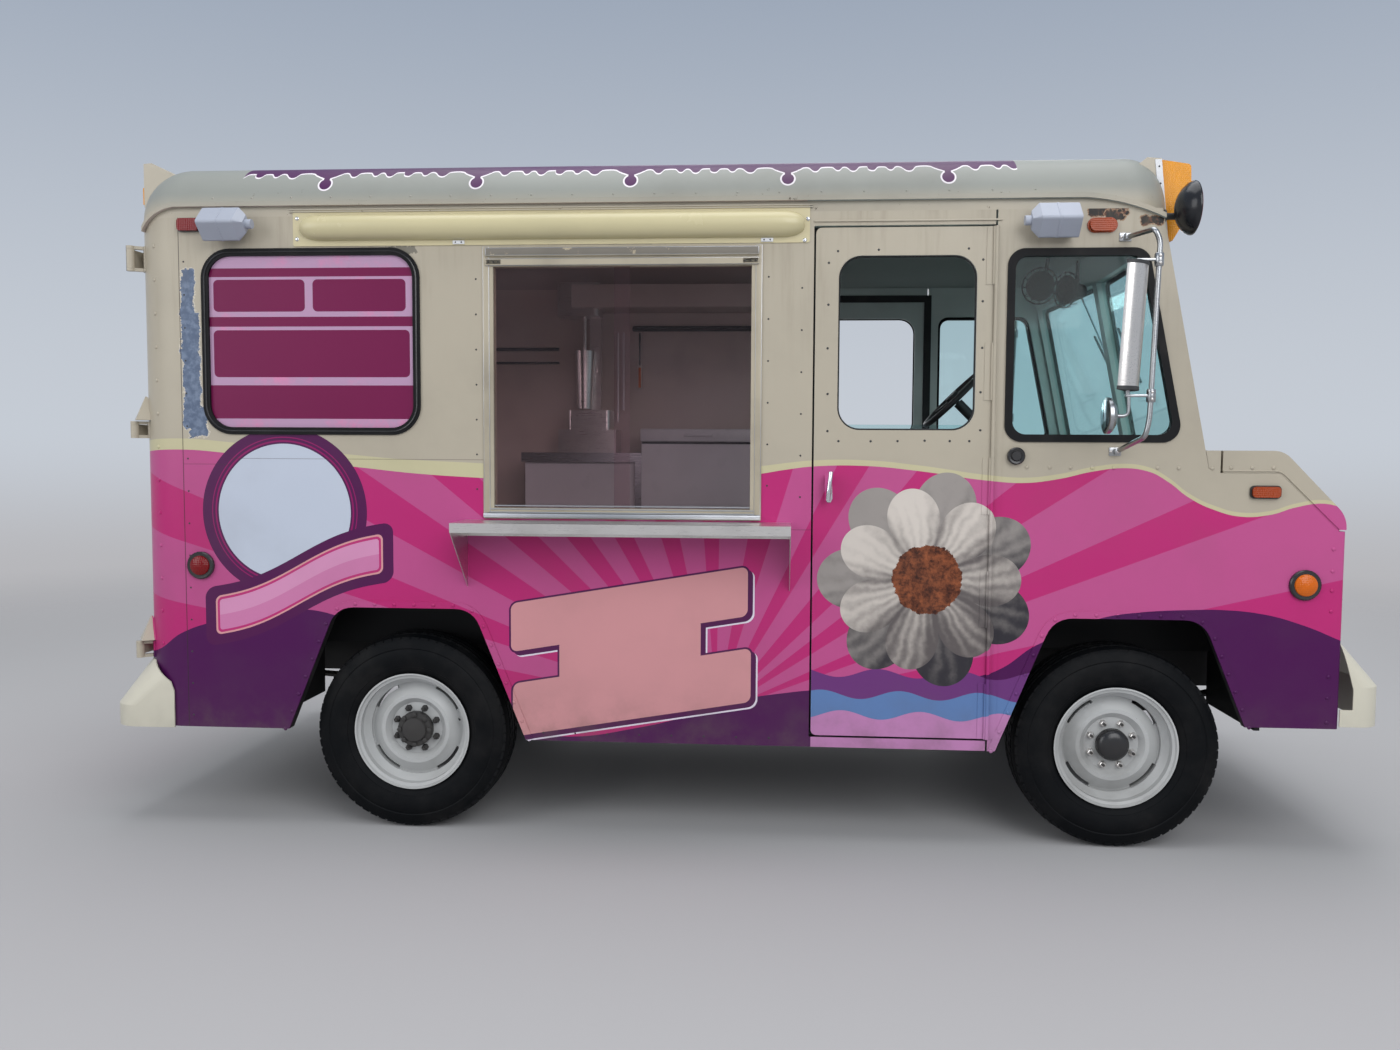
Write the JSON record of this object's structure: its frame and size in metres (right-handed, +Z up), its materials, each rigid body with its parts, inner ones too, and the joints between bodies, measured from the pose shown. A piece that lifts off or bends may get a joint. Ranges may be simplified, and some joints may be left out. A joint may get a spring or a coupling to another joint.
{
  "type": "hooded walk-in food truck",
  "caption": "Hooded walk-in food truck with serving hatch, shelf, menu board, hinged side and rear doors, lifting hood, steering and turning wheels.",
  "frame": {"origin": "on the ground at the middle of the overall length and width", "axes": "+X to the truck's front, +Y to its left, +Z up"},
  "size_m": [4.7, 2.52, 2.55],
  "materials": {
    "body_paint": "aged cream enamel with pink and purple livery",
    "roof_paint": "aged cream enamel with purple drips",
    "awning_cream": "pale yellow enamel",
    "bumper_paint": "scuffed off-white enamel",
    "floor_paint": "grey floor enamel",
    "frame_black": "satin black chassis paint",
    "engine_iron": "painted cast iron",
    "exhaust_steel": "dull heat-stained steel",
    "stainless": "brushed stainless steel",
    "white_enamel": "white enamel",
    "bare_aluminium": "dull mill finish",
    "chrome_trim": "polished chrome",
    "dark_plastic": "grained black plastic",
    "horn_paint": "off-white plastic",
    "lamp_black": "black lamp hood",
    "lamp_lens": "amber and red lenses",
    "sign_yellow": "translucent yellow sign face, blank",
    "board_face": "pale pink printed board, blank",
    "seat_vinyl": "black seat vinyl",
    "window_rubber": "black glazing rubber",
    "wheel_white": "white wheel enamel",
    "tyre": "black tyre rubber",
    "glass": "clear glass"
  },
  "bodies": {
    "truck": {"awning_hood": "awning_cream", "cab_frame": "body_paint", "chassis_frame": "frame_black", "counter": "stainless", "dashboard": "dark_plastic", "door_hinges": "frame_black", "drink_mixer": "stainless", "drive_shaft": "frame_black", "engine_block": "engine_iron", "engine_cover": "dark_plastic", "exhaust": "exhaust_steel", "fixed_glass": "glass", "floor": "floor_paint", "freezer": "white_enamel", "front_bumper": "bumper_paint", "front_suspension": "frame_black", "fuel_tank": "frame_black", "grille": "bare_aluminium", "lamps": "lamp_lens", "menu_board": "board_face", "mirrors": "chrome_trim", "nose": "body_paint", "rear_bumper": "bumper_paint", "rear_frame": "body_paint", "rear_suspension": "frame_black", "roof": "roof_paint", "roof_signs": "awning_cream", "seat_cushions": "seat_vinyl", "seat_pedestal": "frame_black", "service_shelf": "bare_aluminium", "serving_window": "bare_aluminium", "side_wall_left": "body_paint", "side_wall_right": "body_paint", "sign_lenses": "sign_yellow", "speakers": "horn_paint", "steering_column": "dark_plastic", "warning_lamps": "lamp_black", "window_rubbers": "window_rubber"},
    "door_right": {"door_right": "body_paint", "door_glass_right": "glass"},
    "door_left": {"door_left": "body_paint", "door_glass_left": "glass"},
    "rear_door_right": {"rear_door_right": "body_paint", "rear_door_glass_right": "glass"},
    "rear_door_left": {"rear_door_left": "body_paint", "rear_door_glass_left": "glass"},
    "hood": {"hood_lid": "body_paint"},
    "steering_wheel": {"steering_wheel": "dark_plastic"},
    "steer_right": {"knuckle_right": "frame_black"},
    "steer_left": {"knuckle_left": "frame_black"},
    "wheel_front_left": {"wheel_front_left": "wheel_white", "tyre_front_left": "tyre"},
    "wheel_front_right": {"wheel_front_right": "wheel_white", "tyre_front_right": "tyre"},
    "wheel_rear_left": {"wheel_rear_left": "wheel_white", "tyre_rear_left": "tyre"},
    "wheel_rear_right": {"wheel_rear_right": "wheel_white", "tyre_rear_right": "tyre"}
  },
  "joints": [
    {"name": "steer_left_turn", "type": "hinge", "parent": "truck", "child": "steer_left", "pos_m": [1.445, 0.7, 0.371], "axis": [0, 0, 1], "range_deg": [-35, 35]},
    {"name": "steer_right_turn", "type": "hinge", "parent": "truck", "child": "steer_right", "pos_m": [1.445, -0.7, 0.371], "axis": [0, 0, 1], "range_deg": [-35, 35]},
    {"name": "steering_wheel_turn", "type": "hinge", "parent": "truck", "child": "steering_wheel", "pos_m": [1.035, 0.44, 1.705], "axis": [-0.7071, 0, 0.7071], "range_deg": [-490, 490]},
    {"name": "wheel_front_right_spin", "type": "hinge", "parent": "steer_right", "child": "wheel_front_right", "pos_m": [1.445, -0.8245, 0.371], "axis": [0, 1, 0], "continuous": true},
    {"name": "wheel_front_left_spin", "type": "hinge", "parent": "steer_left", "child": "wheel_front_left", "pos_m": [1.445, 0.8245, 0.371], "axis": [0, 1, 0], "continuous": true},
    {"name": "wheel_rear_right_spin", "type": "hinge", "parent": "truck", "child": "wheel_rear_right", "pos_m": [-1.18, -0.8245, 0.371], "axis": [0, 1, 0], "continuous": true},
    {"name": "wheel_rear_left_spin", "type": "hinge", "parent": "truck", "child": "wheel_rear_left", "pos_m": [-1.18, 0.8245, 0.371], "axis": [0, 1, 0], "continuous": true},
    {"name": "door_right_swing", "type": "hinge", "parent": "truck", "child": "door_right", "pos_m": [0.9675, -0.984, 1.3], "axis": [0, 0, 1], "range_deg": [0, 85]},
    {"name": "door_left_swing", "type": "hinge", "parent": "truck", "child": "door_left", "pos_m": [0.9675, 0.984, 1.3], "axis": [0, 0, -1], "range_deg": [0, 85]},
    {"name": "rear_door_right_swing", "type": "hinge", "parent": "truck", "child": "rear_door_right", "pos_m": [-2.253, -0.913, 1.4], "axis": [0, 0, 1], "range_deg": [0, 110]},
    {"name": "rear_door_left_swing", "type": "hinge", "parent": "truck", "child": "rear_door_left", "pos_m": [-2.253, 0.913, 1.4], "axis": [0, 0, -1], "range_deg": [0, 110]},
    {"name": "hood_lift", "type": "hinge", "parent": "truck", "child": "hood", "pos_m": [1.765, 0, 1.464], "axis": [0, -1, 0], "range_deg": [0, 60]}
  ],
  "couplings": [
    {"joint": "steer_right_turn", "follows": "steer_left_turn", "ratio": 1},
    {"joint": "steering_wheel_turn", "follows": "steer_left_turn", "ratio": 14}
  ]
}
